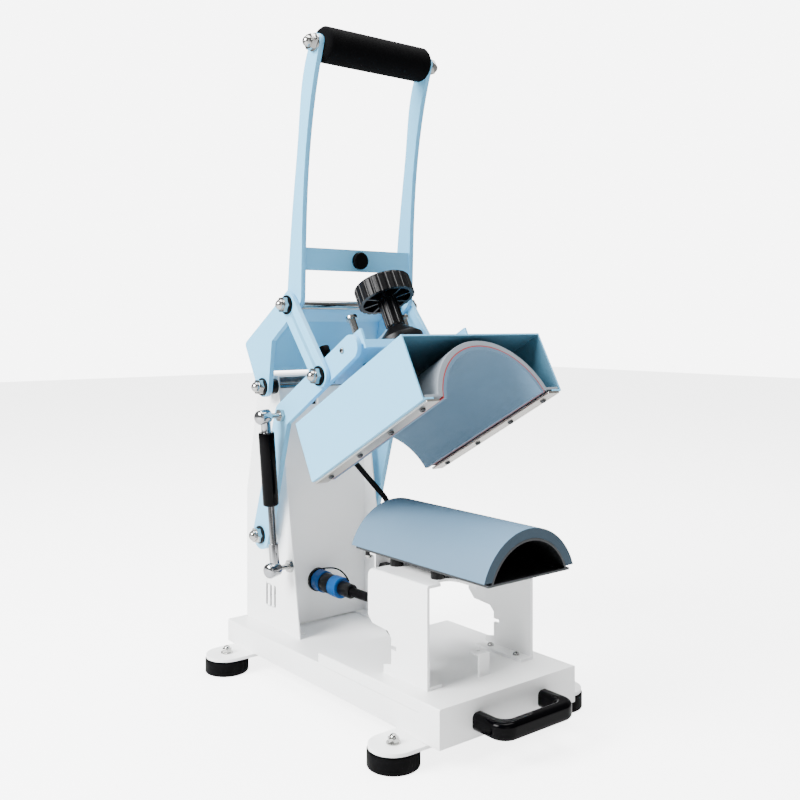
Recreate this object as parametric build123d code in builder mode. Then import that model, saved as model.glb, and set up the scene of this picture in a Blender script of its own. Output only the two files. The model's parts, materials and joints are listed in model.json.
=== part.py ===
from build123d import *
from math import sin, cos, radians
import os

os.makedirs("parts", exist_ok=True)

# Press for curved sports guards: an open head swings down over a half-round
# platen on a drawer tray. Millimetres, front faces -y, the ground is z = 0.

# Overall sizes
base_width = 178
base_front = -168.5
base_rear = 219
base_bottom = 20.5
base_top = 46
foot_spread = 224
front_foot_y = -137
rear_foot_y = 177
foot_diameter = 50
foot_height = 17
tray_width = 183
tray_front = -178
tray_rear = 16.5
tray_top = 58
bow_reach = 41
column_width = 127
column_foot_front = 95.8
column_top_front = 143.4
column_top_rear = 184
column_rear = 215
column_shoulder = 201
column_height = 345
sheet = 2

# Pivots, as y and z in the side view
handle_pivot = (149.1, 332.2)
arm_pivot = (154.7, 158.3)
toggle_pin = (86.49, 427.23)
link_pin = (23.5, 350.6)
arm_elbow = (108.8, 301.9)
arm_end = (-24, 382)
shaft_diameter = 10
running_clearance = 0.05

# Layers across the width, measured from the middle
arm_inner = 74
arm_thick = 6
side_gap = 0.2
link_inner = arm_inner + arm_thick + 0.6
link_thick = 5.4
washer_thick = 2

# Handle
handle_knee = (139, 392)
handle_elbow = (184.5, 380.5)
grip_centre = (41, 711)
grip_length = 147
grip_diameter = 39.5
crossbar_z = 478.5
crossbar_y = 71
crossbar_height = 25

# Head, tilted with the arm
head_tilt = 28.5
head_y = -66.1
head_z = 287.4
head_half_width = 94
head_height = 67.5
head_length = 208
shell_centre = -17
shell_outer = 76.5
shell_inner = 71
mat_inner = 70
pad_inner = 66.3
wing_low = 2
wing_high = 4.5
strip_low = -2.5
bridge_top = 103
bridge_sheet = 3
bridge_front = -26
bridge_back = 76
bridge_lip = 9
pin_y = 45
collar_radius = 26
collar_drum = 14
collar_top = 131
stud_top = 141
stud_x = 56
stud_y = 66
post_x = 36.7
post_y = 27
post_top = 154.5
screw_y = 3
screw_diameter = 12
knob_diameter = 65
knob_height = 22
knob_low = 166
stem_length = 32

# Half-round platen on its cradle
platen_length = 203
platen_centre_z = 150.5
platen_outer = 63.5
platen_pad_thick = 9.5
platen_plate_low = 166.5
platen_plate_high = 169
platen_cut = 171
cradle_half_width = 72
cradle_top = 158
cradle_front = -138
cradle_rear = -43
cradle_sheet = 3

# Places of the fittings on the column
plug_x = -9
plug_z = 97
sensor_x = -18.3
sensor_z = 312
inlet_x = -24
inlet_z = 84
switch_x = 24
switch_z = 84
cutout_gap = 0.2


def side(x):
    # a sketch plane seen from the right, with y across and z up
    return Plane(origin=(x, 0, 0), x_dir=(0, 1, 0), z_dir=(1, 0, 0))


def head_point(x, y, n):
    # a point of the tilted head: y to the rear along it, n out of its top
    t = radians(head_tilt)
    return (x, head_y + y * cos(t) + n * sin(t), head_z - y * sin(t) + n * cos(t))


def head_level(y, n):
    t = radians(head_tilt)
    return Plane(origin=head_point(0, y, n), x_dir=(1, 0, 0), z_dir=(0, sin(t), cos(t)))


def head_section(y):
    # the head's cross-section, extruded towards the front
    t = radians(head_tilt)
    return Plane(origin=head_point(0, y, 0), x_dir=(1, 0, 0), z_dir=(0, -cos(t), sin(t)))


half = base_width / 2

# Base: a folded sheet box, open underneath
with BuildPart() as base_frame:
    base_mid = (base_front + base_rear) / 2
    base_depth = base_rear - base_front
    with BuildSketch(Plane.XY.offset(base_bottom)):
        with Locations((0, base_mid)):
            RectangleRounded(base_width, base_depth, 4)
    extrude(amount=base_top - base_bottom)
    fillet(base_frame.faces().sort_by(Axis.Z)[-1].edges(), 1.5)
    with BuildSketch(Plane.XY.offset(base_bottom + sheet)):
        with Locations((0, base_mid)):
            Rectangle(base_width - 2 * sheet, base_depth - 2 * sheet)
    extrude(amount=base_top - base_bottom - 2 * sheet, mode=Mode.SUBTRACT)
    with BuildSketch(Plane.XY.offset(base_bottom)):
        with Locations((0, base_mid)):
            Rectangle(base_width - 28, base_depth - 28)
    extrude(amount=sheet, mode=Mode.SUBTRACT)
base_frame.part.label = "base_frame"
export_step(base_frame.part, "parts/base_frame.step")

bar_thick = base_bottom - foot_height
with BuildPart() as foot_bars:
    with BuildSketch(Plane.XY.offset(foot_height)):
        for y in (front_foot_y, rear_foot_y):
            with Locations((0, y)):
                SlotCenterToCenter(foot_spread, 48)
    extrude(amount=bar_thick)
foot_bars.part.label = "foot_bars"
export_step(foot_bars.part, "parts/foot_bars.step")

with BuildPart() as rubber_feet:
    with BuildSketch(Plane.XY):
        with Locations((0, (front_foot_y + rear_foot_y) / 2)):
            with GridLocations(foot_spread, rear_foot_y - front_foot_y, 2, 2):
                Circle(foot_diameter / 2)
                Circle(11, mode=Mode.SUBTRACT)
    extrude(amount=foot_height - 1.5)
    with BuildSketch(Plane.XY.offset(foot_height - 6)):
        with Locations((0, (front_foot_y + rear_foot_y) / 2)):
            with GridLocations(foot_spread, rear_foot_y - front_foot_y, 2, 2):
                Circle(12)
    extrude(amount=6)
    fillet(rubber_feet.faces().sort_by(Axis.Z)[0:4].edges().filter_by(lambda e: e.length > 120), 2)
rubber_feet.part.label = "rubber_feet"
export_step(rubber_feet.part, "parts/rubber_feet.step")

with BuildPart() as foot_bolts:
    with Locations((0, (front_foot_y + rear_foot_y) / 2, base_bottom)):
        with GridLocations(foot_spread, rear_foot_y - front_foot_y, 2, 2):
            Cylinder(7, 1, align=(Align.CENTER, Align.CENTER, Align.MIN))
    with BuildSketch(Plane.XY.offset(base_bottom + 1)):
        with Locations((0, (front_foot_y + rear_foot_y) / 2)):
            with GridLocations(foot_spread, rear_foot_y - front_foot_y, 2, 2):
                RegularPolygon(5.8, 6)
    extrude(amount=4)
    with Locations((0, (front_foot_y + rear_foot_y) / 2, base_bottom + 4.6)):
        with GridLocations(foot_spread, rear_foot_y - front_foot_y, 2, 2):
            Sphere(4.2)
foot_bolts.part.label = "foot_bolts"
export_step(foot_bolts.part, "parts/foot_bolts.step")

# Drawer rails: the outer ones lie on the base, the inner ones hang under the tray
rail_x = 55
with BuildPart() as outer_rails:
    with BuildSketch(Plane.XZ.offset(-14)):
        for x in (-rail_x, rail_x):
            with Locations((x, base_top + 4.3)):
                Rectangle(27, 8.6)
                Rectangle(24.6, 6.2, mode=Mode.SUBTRACT)
            with Locations((x, base_top + 8)):
                Rectangle(20, 1.3, mode=Mode.SUBTRACT)
    extrude(amount=180)
outer_rails.part.label = "outer_rails"
export_step(outer_rails.part, "parts/outer_rails.step")

with BuildPart() as inner_rails:
    with BuildSketch(Plane.XZ.offset(-10)):
        for x in (-rail_x, rail_x):
            with Locations((x, tray_top - sheet - 3.9)):
                Rectangle(17, 7.8)
            with Locations((x, tray_top - sheet - 4.5)):
                Rectangle(14.6, 6.6, mode=Mode.SUBTRACT)
    extrude(amount=176)
inner_rails.part.label = "inner_rails"
export_step(inner_rails.part, "parts/inner_rails.step")

# Column: two side plates that lean back, a front panel set in between them
column_half = column_width / 2
shaft_hole = shaft_diameter / 2 + running_clearance
with BuildPart() as column_sides:
    for x in (-column_half, column_half - sheet):
        with BuildSketch(side(x)):
            with BuildLine():
                Polyline(
                    (column_foot_front, base_top),
                    (column_top_front, column_height),
                    (column_top_rear, column_height),
                    (column_rear, column_shoulder),
                    (column_rear, base_top),
                    close=True,
                )
            make_face()
            with Locations(handle_pivot, arm_pivot):
                Circle(shaft_diameter / 2, mode=Mode.SUBTRACT)
            if x < 0:
                with Locations((159, 83)):
                    with GridLocations(9, 1, 3, 1):
                        SlotOverall(26, 4, rotation=90, mode=Mode.SUBTRACT)
        extrude(amount=sheet)
    # feet turned inwards, welded to the base
    for x in (-column_half + sheet, column_half - sheet - 14):
        with Locations((x + 7, (column_foot_front + column_rear) / 2 + 4, base_top + 1)):
            Box(14, column_rear - column_foot_front - 16, sheet)
column_sides.part.label = "column_sides"
export_step(column_sides.part, "parts/column_sides.step")

panel_y = 141
panel_top = 330
panel_width = column_width - 2 * sheet
with BuildPart() as column_front_panel:
    with BuildSketch(Plane.XZ.offset(-panel_y - sheet)):
        with Locations((0, (base_top + sheet + panel_top) / 2)):
            Rectangle(panel_width, panel_top - base_top - sheet)
        with Locations((sensor_x, sensor_z)):
            Rectangle(16.6, 6, mode=Mode.SUBTRACT)
        with Locations((plug_x, plug_z)):
            Circle(11, mode=Mode.SUBTRACT)
    extrude(amount=sheet)
    with Locations((sensor_x + 9.3, panel_y - 1.5, sensor_z)):
        Box(1.5, 3, 8)
column_front_panel.part.label = "column_front_panel"
export_step(column_front_panel.part, "parts/column_front_panel.step")

# One folded cover closes the back and the top
with BuildPart() as column_cover:
    with BuildSketch(side(-panel_width / 2)):
        with BuildLine():
            Polyline(
                (column_rear, base_top + sheet),
                (column_rear, column_shoulder),
                (column_top_rear, column_height),
                (column_top_front, column_height),
                (column_top_front, column_height - sheet),
                (column_top_rear - sheet, column_height - sheet),
                (column_rear - sheet, column_shoulder),
                (column_rear - sheet, base_top + sheet),
                close=True,
            )
        make_face()
    extrude(amount=panel_width)
    with BuildSketch(Plane.XZ.offset(-column_rear)):
        with Locations((inlet_x, inlet_z)):
            Rectangle(26.6 + 2 * cutout_gap, 29.6 + 2 * cutout_gap)
        with Locations((switch_x, switch_z)):
            Rectangle(12.6 + 2 * cutout_gap, 24.6 + 2 * cutout_gap)
    extrude(amount=sheet + 1, mode=Mode.SUBTRACT)
column_cover.part.label = "column_cover"
export_step(column_cover.part, "parts/column_cover.step")

with BuildPart() as closing_sensor:
    with Locations((sensor_x, panel_y + sheet + 4, sensor_z)):
        Box(15, 8, 14)
    with Locations((sensor_x, panel_y + 1, sensor_z)):
        Box(9, 2, 4)
closing_sensor.part.label = "closing_sensor"
export_step(closing_sensor.part, "parts/closing_sensor.step")

# Two fixed shafts carry the handle and the arm
washer_out = arm_inner + arm_thick + side_gap + washer_thick
with BuildPart() as pivot_shafts:
    with BuildSketch(side(-washer_out)):
        with Locations(handle_pivot, arm_pivot):
            Circle(shaft_diameter / 2)
    extrude(amount=2 * washer_out)
pivot_shafts.part.label = "pivot_shafts"
export_step(pivot_shafts.part, "parts/pivot_shafts.step")

spacer_length = arm_inner - side_gap - column_half
with BuildPart() as pivot_bushes:
    for x in (column_half, -arm_inner + side_gap):
        with BuildSketch(side(x)):
            with Locations(handle_pivot, arm_pivot):
                Circle(9)
                Circle(shaft_diameter / 2, mode=Mode.SUBTRACT)
        extrude(amount=spacer_length)
    for x in (washer_out - washer_thick, -washer_out):
        with BuildSketch(side(x)):
            with Locations(handle_pivot, arm_pivot):
                Circle(10.5)
                Circle(shaft_diameter / 2, mode=Mode.SUBTRACT)
        extrude(amount=washer_thick)
pivot_bushes.part.label = "pivot_bushes"
export_step(pivot_bushes.part, "parts/pivot_bushes.step")

nut_height = 6
nut_radius = 9.2
dome_radius = 6.2
dome_rise = 6.4
with BuildPart() as pivot_nuts:
    for x in (washer_out, -washer_out - nut_height):
        with BuildSketch(side(x)):
            with Locations(handle_pivot, arm_pivot):
                RegularPolygon(nut_radius, 6)
        extrude(amount=nut_height)
    for x in (washer_out + dome_rise, -washer_out - dome_rise):
        with Locations((x, *handle_pivot), (x, *arm_pivot)):
            Sphere(dome_radius, rotation=(0, 90, 0))
pivot_nuts.part.label = "pivot_nuts"
export_step(pivot_nuts.part, "parts/pivot_nuts.step")

# Gas strut on the left: ball studs, black cylinder above, bright rod below
upper_ball = Vector(-arm_inner - arm_thick - 22, 107.3, 301.9)
lower_ball = Vector(-column_half - 21, 114.9, 126.5)
ball_radius = 5
with BuildPart() as lower_ball_stud:
    stud_length = -column_half - lower_ball.X
    with BuildSketch(side(lower_ball.X)):
        with Locations((lower_ball.Y, lower_ball.Z)):
            Circle(3)
    extrude(amount=stud_length)
    with BuildSketch(side(-column_half - 4)):
        with Locations((lower_ball.Y, lower_ball.Z)):
            RegularPolygon(7.5, 6)
    extrude(amount=4)
    with Locations(lower_ball):
        Sphere(ball_radius, rotation=(0, 90, 0))
lower_ball_stud.part.label = "lower_ball_stud"
export_step(lower_ball_stud.part, "parts/lower_ball_stud.step")

with BuildPart() as upper_ball_stud:
    arm_face = -arm_inner - arm_thick
    with BuildSketch(side(upper_ball.X)):
        with Locations((upper_ball.Y, upper_ball.Z)):
            Circle(3)
    extrude(amount=arm_face - upper_ball.X)
    with BuildSketch(side(arm_face - 5)):
        with Locations((upper_ball.Y, upper_ball.Z)):
            RegularPolygon(7.5, 6)
    extrude(amount=5)
    with Locations(upper_ball):
        Sphere(ball_radius, rotation=(0, 90, 0))
upper_ball_stud.part.label = "upper_ball_stud"
export_step(upper_ball_stud.part, "parts/upper_ball_stud.step")

strut_axis = (lower_ball - upper_ball).normalized()
strut_plane = Plane(origin=upper_ball, z_dir=strut_axis)
strut_length = (lower_ball - upper_ball).length
cup_axis = Vector(0.96608, 0.23523, 0.10658)
cylinder_start = 18
cylinder_length = 84
rod_radius = 4
rod_clearance = 0.06
with BuildPart() as strut_cylinder:
    with BuildSketch(strut_plane.offset(cylinder_start)):
        Circle(9)
    extrude(amount=cylinder_length)
    chamfer(strut_cylinder.edges().filter_by(GeomType.CIRCLE), 1.2)
    with BuildSketch(strut_plane.offset(cylinder_start + 8)):
        Circle(rod_radius + rod_clearance)
    extrude(amount=cylinder_length, mode=Mode.SUBTRACT)
    with BuildSketch(strut_plane.offset(6)):
        Circle(5.5)
    extrude(amount=cylinder_start - 6)
    # the socket is a cup that leaves room round the ball
    with BuildSketch(Plane(origin=upper_ball, z_dir=cup_axis).offset(-8.5)):
        Circle(8)
    extrude(amount=12)
    with BuildSketch(Plane(origin=upper_ball, z_dir=cup_axis).offset(-6)):
        Circle(ball_radius + 0.6)
    extrude(amount=12, mode=Mode.SUBTRACT)
strut_cylinder.part.label = "strut_cylinder"
export_step(strut_cylinder.part, "parts/strut_cylinder.step")

with BuildPart() as strut_rod:
    rod_start = 62
    with BuildSketch(strut_plane.offset(rod_start)):
        Circle(rod_radius)
    extrude(amount=strut_length - rod_start - 10)
    with BuildSketch(strut_plane.offset(strut_length - 30)):
        Circle(5.5)
    extrude(amount=23)
    with BuildSketch(Plane(origin=lower_ball, z_dir=cup_axis).offset(-9.5)):
        Circle(8.5)
    extrude(amount=12.5)
    with BuildSketch(Plane(origin=lower_ball, z_dir=cup_axis).offset(-7)):
        Circle(ball_radius + 1.7)
    extrude(amount=12, mode=Mode.SUBTRACT)
strut_rod.part.label = "strut_rod"
export_step(strut_rod.part, "parts/strut_rod.step")

# Round plug and socket low on the column's front panel
with BuildPart() as connector_body:
    with BuildSketch(Plane.XZ.offset(-panel_y)):
        with Locations((plug_x, plug_z)):
            Circle(14)
    extrude(amount=4)
    with BuildSketch(Plane.XZ.offset(-panel_y + 18)):
        with Locations((plug_x, plug_z)):
            Circle(11.5)
    extrude(amount=18)
    with BuildSketch(Plane.XZ.offset(-panel_y + 52)):
        with Locations((plug_x, plug_z)):
            Circle(8.2)
    extrude(amount=20)
    chamfer(connector_body.edges().filter_by(GeomType.CIRCLE).sort_by(Axis.Y)[0], 1.5)
    with BuildSketch(Plane.XZ.offset(-panel_y + 60)):
        with Locations((plug_x, plug_z)):
            Circle(6.2)
    extrude(amount=20, mode=Mode.SUBTRACT)
    with BuildSketch(Plane.XZ.offset(-panel_y - 14)):
        with Locations((plug_x, plug_z)):
            Circle(10.8)
    extrude(amount=14)
connector_body.part.label = "connector_body"
export_step(connector_body.part, "parts/connector_body.step")

with BuildPart() as connector_rings:
    with BuildSketch(Plane.XZ.offset(-panel_y + 4)):
        with Locations((plug_x, plug_z)):
            Circle(12.8)
    extrude(amount=14)
    with BuildSketch(Plane.XZ.offset(-panel_y + 36)):
        with Locations((plug_x, plug_z)):
            Circle(12.4)
    extrude(amount=16)
    chamfer(connector_rings.edges().filter_by(GeomType.CIRCLE), 1)
connector_rings.part.label = "connector_rings"
export_step(connector_rings.part, "parts/connector_rings.step")

# Tray: a drawer front and two side skirts folded down from one sheet
tray_half = tray_width / 2
with BuildPart() as tray:
    with Locations((0, (tray_front + tray_rear) / 2, tray_top - sheet / 2)):
        Box(tray_width, tray_rear - tray_front, sheet)
    with Locations((0, tray_front + sheet / 2, (tray_top + 21) / 2)):
        Box(tray_width, sheet, tray_top - 21)
    for x in (-tray_half + sheet / 2, tray_half - sheet / 2):
        with Locations((x, (tray_front + tray_rear) / 2, (tray_top + 47) / 2)):
            Box(sheet, tray_rear - tray_front, tray_top - 47)
        with Locations((x, tray_front + 14.5, (tray_top + 21) / 2)):
            Box(sheet, 29, tray_top - 21)
    outer_edges = tray.edges().filter_by(Axis.Y).filter_by(lambda e: abs(e.center().X) > tray_half - 0.1)
    fillet(outer_edges.filter_by(lambda e: e.center().Z > tray_top - 0.1), 1.5)
    # upright locating lug in the middle of the cradle's mouth
    with Locations((0, cradle_front - 1.7, tray_top + 11)):
        Box(14, sheet, 22)
    with Locations((0, cradle_front + 5.3, tray_top + 21)):
        Box(14, 14, sheet)
    with Locations((0, cradle_front + 6.3, tray_top + 21)):
        Cylinder(2, 3, mode=Mode.SUBTRACT)
tray.part.label = "tray"
export_step(tray.part, "parts/tray.step")

bow_z = 36.5
bow_half = 51
bow_bar = 14
bow_height = 17
with BuildPart() as bow_handle:
    with BuildSketch(Plane.XY.offset(bow_z - bow_height / 2)):
        with Locations((0, tray_front - bow_reach / 2)):
            Rectangle(2 * bow_half, bow_reach)
        front_corners = vertices().group_by(Axis.Y)[0]
        fillet(front_corners, 17)
        with Locations((0, tray_front)):
            RectangleRounded(2 * (bow_half - bow_bar), 2 * (bow_reach - bow_bar), 9, mode=Mode.SUBTRACT)
    extrude(amount=bow_height)
    flat_edges = bow_handle.edges().filter_by(lambda e: abs(e.tangent_at(0.5).Z) < 0.5)
    fillet(flat_edges.filter_by(lambda e: e.center().Y < tray_front - 1), 5)
bow_handle.part.label = "bow_handle"
export_step(bow_handle.part, "parts/bow_handle.step")

# Cradle: an inverted U of sheet with notched sides and a tongue in front
with BuildPart() as cradle:
    for x in (-cradle_half_width, cradle_half_width - cradle_sheet):
        with BuildSketch(side(x)):
            with BuildLine():
                Polyline(
                    (cradle_front, tray_top),
                    (cradle_front, cradle_top),
                    (cradle_rear, cradle_top),
                    (cradle_rear, 112),
                    (-52, 103),
                    (-77, 101),
                    (-83, 95),
                    (-83, 88),
                    (-91, 88),
                    (-91, 84),
                    (-83, 84),
                    (-83, 69),
                    (-70.5, 66),
                    (-70.5, tray_top),
                    close=True,
                )
            make_face()
            rear_corner = vertices().sort_by_distance((cradle_rear, cradle_top, 0))[0]
            fillet(rear_corner, 9)
        extrude(amount=cradle_sheet)
    with BuildSketch(Plane.XY.offset(cradle_top - cradle_sheet)):
        with Locations((0, (cradle_front + cradle_rear) / 2 - 4.5)):
            Rectangle(2 * cradle_half_width - 2 * cradle_sheet, cradle_rear - cradle_front - 9)
        with Locations((0, cradle_front - 12.5)):
            Rectangle(64, 25)
        with Locations((-44, cradle_front), (44, cradle_front)):
            Circle(11, mode=Mode.SUBTRACT)
    extrude(amount=cradle_sheet)
    for x in (-cradle_half_width + cradle_sheet, cradle_half_width - cradle_sheet - 15):
        with Locations((x + 7.5, (cradle_front - 70.5) / 2, tray_top + cradle_sheet / 2)):
            Box(15, -70.5 - cradle_front, cradle_sheet)
    long_bends = cradle.edges().filter_by(Axis.Y).filter_by(lambda e: e.center().Z > cradle_top - 0.1)
    fillet(long_bends.filter_by(lambda e: abs(e.center().X) > cradle_half_width - 0.1), 2.5)
cradle.part.label = "cradle"
export_step(cradle.part, "parts/cradle.step")

# Platen: a soft half-round pad over a thin metal shell with a flat floor
pad_r = platen_outer - platen_pad_thick
with BuildPart() as platen_pad:
    with BuildSketch(Plane.XZ):
        with Locations((0, platen_centre_z)):
            Circle(platen_outer)
            Circle(pad_r, mode=Mode.SUBTRACT)
        with Locations((0, platen_cut - 50)):
            Rectangle(2 * platen_outer + 10, 100, mode=Mode.SUBTRACT)
    extrude(amount=platen_length)
platen_pad.part.label = "platen_pad"
export_step(platen_pad.part, "parts/platen_pad.step")

with BuildPart() as platen_shell:
    with BuildSketch(Plane.XZ):
        with Locations((0, platen_centre_z)):
            Circle(pad_r)
            Circle(pad_r - 2.5, mode=Mode.SUBTRACT)
        with Locations((0, platen_plate_high - 50)):
            Rectangle(2 * platen_outer, 100, mode=Mode.SUBTRACT)
        with Locations((0, (platen_plate_low + platen_plate_high) / 2)):
            Rectangle(109, platen_plate_high - platen_plate_low)
    extrude(amount=platen_length)
platen_shell.part.label = "platen_shell"
export_step(platen_shell.part, "parts/platen_shell.step")

with BuildPart() as platen_spacers:
    with Locations((0, -90, (cradle_top + platen_plate_low) / 2)):
        with GridLocations(90, 64, 2, 2):
            Cylinder(7, platen_plate_low - cradle_top)
    with Locations((0, -156, (cradle_top + platen_plate_low) / 2)):
        Box(50, 10, platen_plate_low - cradle_top)
    for x in (-46, -34):
        with Locations((x, -12, platen_plate_low - 3)):
            Cylinder(4, 6)
platen_spacers.part.label = "platen_spacers"
export_step(platen_spacers.part, "parts/platen_spacers.step")

gland_x = -44
gland_y = -36
gland_z = 148.5
cable_radius = 5.2
with BuildPart() as gland_bracket:
    with BuildSketch(Plane.XZ.offset(32)):
        with Locations((gland_x, (gland_z - 11 + platen_plate_low) / 2)):
            Rectangle(20, platen_plate_low - gland_z + 11)
        with Locations((gland_x, gland_z)):
            Circle(6.5, mode=Mode.SUBTRACT)
    extrude(amount=sheet)
    with Locations((gland_x, -28, platen_plate_low - 1)):
        Box(20, 8, sheet)
gland_bracket.part.label = "gland_bracket"
export_step(gland_bracket.part, "parts/gland_bracket.step")

with BuildPart() as platen_gland:
    with BuildSketch(Plane.XZ.offset(28)):
        with Locations((gland_x, gland_z)):
            Circle(6.5)
    extrude(amount=18)
    with BuildSketch(Plane.XZ.offset(28)):
        with Locations((gland_x, gland_z)):
            RegularPolygon(9, 6)
    extrude(amount=4)
    with BuildSketch(Plane.XZ.offset(34)):
        with Locations((gland_x, gland_z)):
            RegularPolygon(9, 6)
    extrude(amount=8)
    with BuildSketch(Plane.XZ.offset(27)):
        with Locations((gland_x, gland_z)):
            Circle(cable_radius + 0.6)
    extrude(amount=20, mode=Mode.SUBTRACT)
platen_gland.part.label = "platen_gland"
export_step(platen_gland.part, "parts/platen_gland.step")

# Arm plates: lower limb from the pivot to the elbow, upper limb over the head
with BuildPart() as arm_plates:
    for x in (-arm_inner - arm_thick, arm_inner):
        with BuildSketch(side(x)):
            with Locations(arm_pivot):
                Circle(17)
            with Locations(arm_elbow):
                Circle(14)
            make_hull()
        extrude(amount=arm_thick)
        with BuildSketch(side(x)):
            with Locations(arm_elbow):
                Circle(14)
            with Locations(arm_end):
                Circle(13)
            make_hull()
        extrude(amount=arm_thick)
        with BuildSketch(side(x)):
            with Locations(arm_pivot):
                Circle(shaft_hole)
            with Locations(link_pin):
                Circle(shaft_diameter / 2)
        extrude(amount=arm_thick, mode=Mode.SUBTRACT)
arm_plates.part.label = "arm_plates"
export_step(arm_plates.part, "parts/arm_plates.step")

with BuildPart() as arm_pins:
    for x in (-arm_inner - arm_thick, arm_inner - 5):
        with BuildSketch(side(x)):
            with Locations(link_pin):
                Circle(shaft_diameter / 2)
        extrude(amount=arm_thick + 5)
    for x in (-arm_inner, arm_inner - 5):
        with BuildSketch(side(x)):
            with Locations(link_pin):
                RegularPolygon(nut_radius, 6)
        extrude(amount=5)
arm_pins.part.label = "arm_pins"
export_step(arm_pins.part, "parts/arm_pins.step")

# Bridge between the arms: a folded sheet that holds the nut of the pressure screw
post_hole = 4 + running_clearance
with BuildPart() as bridge:
    with BuildSketch(head_level(0, bridge_top - bridge_sheet)):
        with Locations((0, (bridge_front + bridge_back) / 2)):
            Rectangle(2 * arm_inner, bridge_back - bridge_front)
    extrude(amount=bridge_sheet)
    # front lip folded down
    with BuildSketch(head_level(0, bridge_top - bridge_lip)):
        with Locations((0, bridge_front + bridge_sheet / 2)):
            Rectangle(2 * arm_inner, bridge_sheet)
    extrude(amount=bridge_lip)
    # side flanges folded up against the arms
    with BuildSketch(head_level(0, bridge_top - bridge_sheet)):
        for x in (-arm_inner + bridge_sheet / 2, arm_inner - bridge_sheet / 2):
            with Locations((x, (bridge_front + bridge_back) / 2)):
                Rectangle(bridge_sheet, bridge_back - bridge_front)
    extrude(amount=16)
    # round boss under the sheet for the screw
    with BuildSketch(head_level(0, bridge_top - 12)):
        with Locations((0, screw_y)):
            Circle(16)
    extrude(amount=10)
    # notches round the heads of the arm pins
    with BuildSketch(head_level(0, bridge_top - 12)):
        with Locations((-arm_inner, pin_y), (arm_inner, pin_y)):
            Rectangle(16, 24)
    extrude(amount=30, mode=Mode.SUBTRACT)
    # bores for the screw and the guide posts
    with BuildSketch(head_level(0, bridge_top - 13)):
        with Locations((0, screw_y)):
            Circle(screw_diameter / 2 + running_clearance)
        with Locations((-post_x, post_y), (post_x, post_y)):
            Circle(post_hole)
    extrude(amount=20, mode=Mode.SUBTRACT)
bridge.part.label = "bridge"
export_step(bridge.part, "parts/bridge.step")

# Black flared nut on the bridge
with BuildPart() as pressure_collar:
    with BuildSketch(head_level(0, bridge_top)):
        with Locations((0, screw_y)):
            Circle(collar_radius)
    extrude(amount=collar_drum)
    with BuildSketch(head_level(0, bridge_top + collar_drum)):
        with Locations((0, screw_y)):
            Circle(collar_radius)
    with BuildSketch(head_level(0, collar_top)):
        with Locations((0, screw_y)):
            Circle(11)
    loft()
    with BuildSketch(head_level(0, bridge_top - 1)):
        with Locations((0, screw_y)):
            Circle(screw_diameter / 2 + running_clearance)
    extrude(amount=collar_top - bridge_top + 2, mode=Mode.SUBTRACT)
pressure_collar.part.label = "pressure_collar"
export_step(pressure_collar.part, "parts/pressure_collar.step")

# Stop studs at the rear of the bridge, for the handle's crossbar to rest on
with BuildPart() as stop_studs:
    for x in (-stud_x, stud_x):
        with BuildSketch(head_level(0, bridge_top)):
            with Locations((x, stud_y)):
                RegularPolygon(7, 6)
        extrude(amount=5)
        with BuildSketch(head_level(0, bridge_top)):
            with Locations((x, stud_y)):
                Circle(4)
        extrude(amount=stud_top - bridge_top - 4)
        with BuildSketch(head_level(0, stud_top - 8)):
            with Locations((x, stud_y)):
                Circle(6)
        extrude(amount=8)
stop_studs.part.label = "stop_studs"
export_step(stop_studs.part, "parts/stop_studs.step")

# Head: a sheet hood over a half-round heater with its soft pad
with BuildPart() as hood:
    with BuildSketch(head_section(head_length / 2)):
        with Locations((0, head_height / 2)):
            Rectangle(2 * head_half_width, head_height)
            Rectangle(2 * head_half_width - 2 * sheet, head_height - 2 * sheet, mode=Mode.SUBTRACT)
        with Locations((0, sheet / 2)):
            Rectangle(2 * head_half_width - 28, sheet, mode=Mode.SUBTRACT)
    extrude(amount=head_length)
hood.part.label = "hood"
export_step(hood.part, "parts/hood.step")

with BuildPart() as heater_shell:
    with BuildSketch(head_section(head_length / 2)):
        with Locations((0, shell_centre)):
            Circle(shell_outer)
            Circle(shell_inner, mode=Mode.SUBTRACT)
        with Locations((0, wing_low - 60)):
            Rectangle(2 * shell_outer + 10, 120, mode=Mode.SUBTRACT)
        for x in (-81, 81):
            with Locations((x, (wing_low + wing_high) / 2)):
                Rectangle(18, wing_high - wing_low)
    extrude(amount=head_length)
heater_shell.part.label = "heater_shell"
export_step(heater_shell.part, "parts/heater_shell.step")

with BuildPart() as red_mat:
    with BuildSketch(head_section(head_length / 2)):
        with Locations((0, shell_centre)):
            Circle(shell_inner)
            Circle(mat_inner, mode=Mode.SUBTRACT)
        with Locations((0, -60)):
            Rectangle(2 * shell_outer + 10, 120, mode=Mode.SUBTRACT)
    extrude(amount=head_length)
red_mat.part.label = "red_mat"
export_step(red_mat.part, "parts/red_mat.step")

with BuildPart() as upper_pad:
    with BuildSketch(head_section(head_length / 2)):
        with Locations((0, shell_centre)):
            Circle(mat_inner)
            Circle(pad_inner, mode=Mode.SUBTRACT)
        with Locations((0, -60)):
            Rectangle(2 * shell_outer + 10, 120, mode=Mode.SUBTRACT)
    extrude(amount=head_length)
upper_pad.part.label = "upper_pad"
export_step(upper_pad.part, "parts/upper_pad.step")

with BuildPart() as clamp_strips:
    with BuildSketch(head_section(head_length / 2)):
        for x in (-82, 82):
            with Locations((x, strip_low / 2)):
                Rectangle(16, -strip_low)
    extrude(amount=head_length)
clamp_strips.part.label = "clamp_strips"
export_step(clamp_strips.part, "parts/clamp_strips.step")

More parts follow.
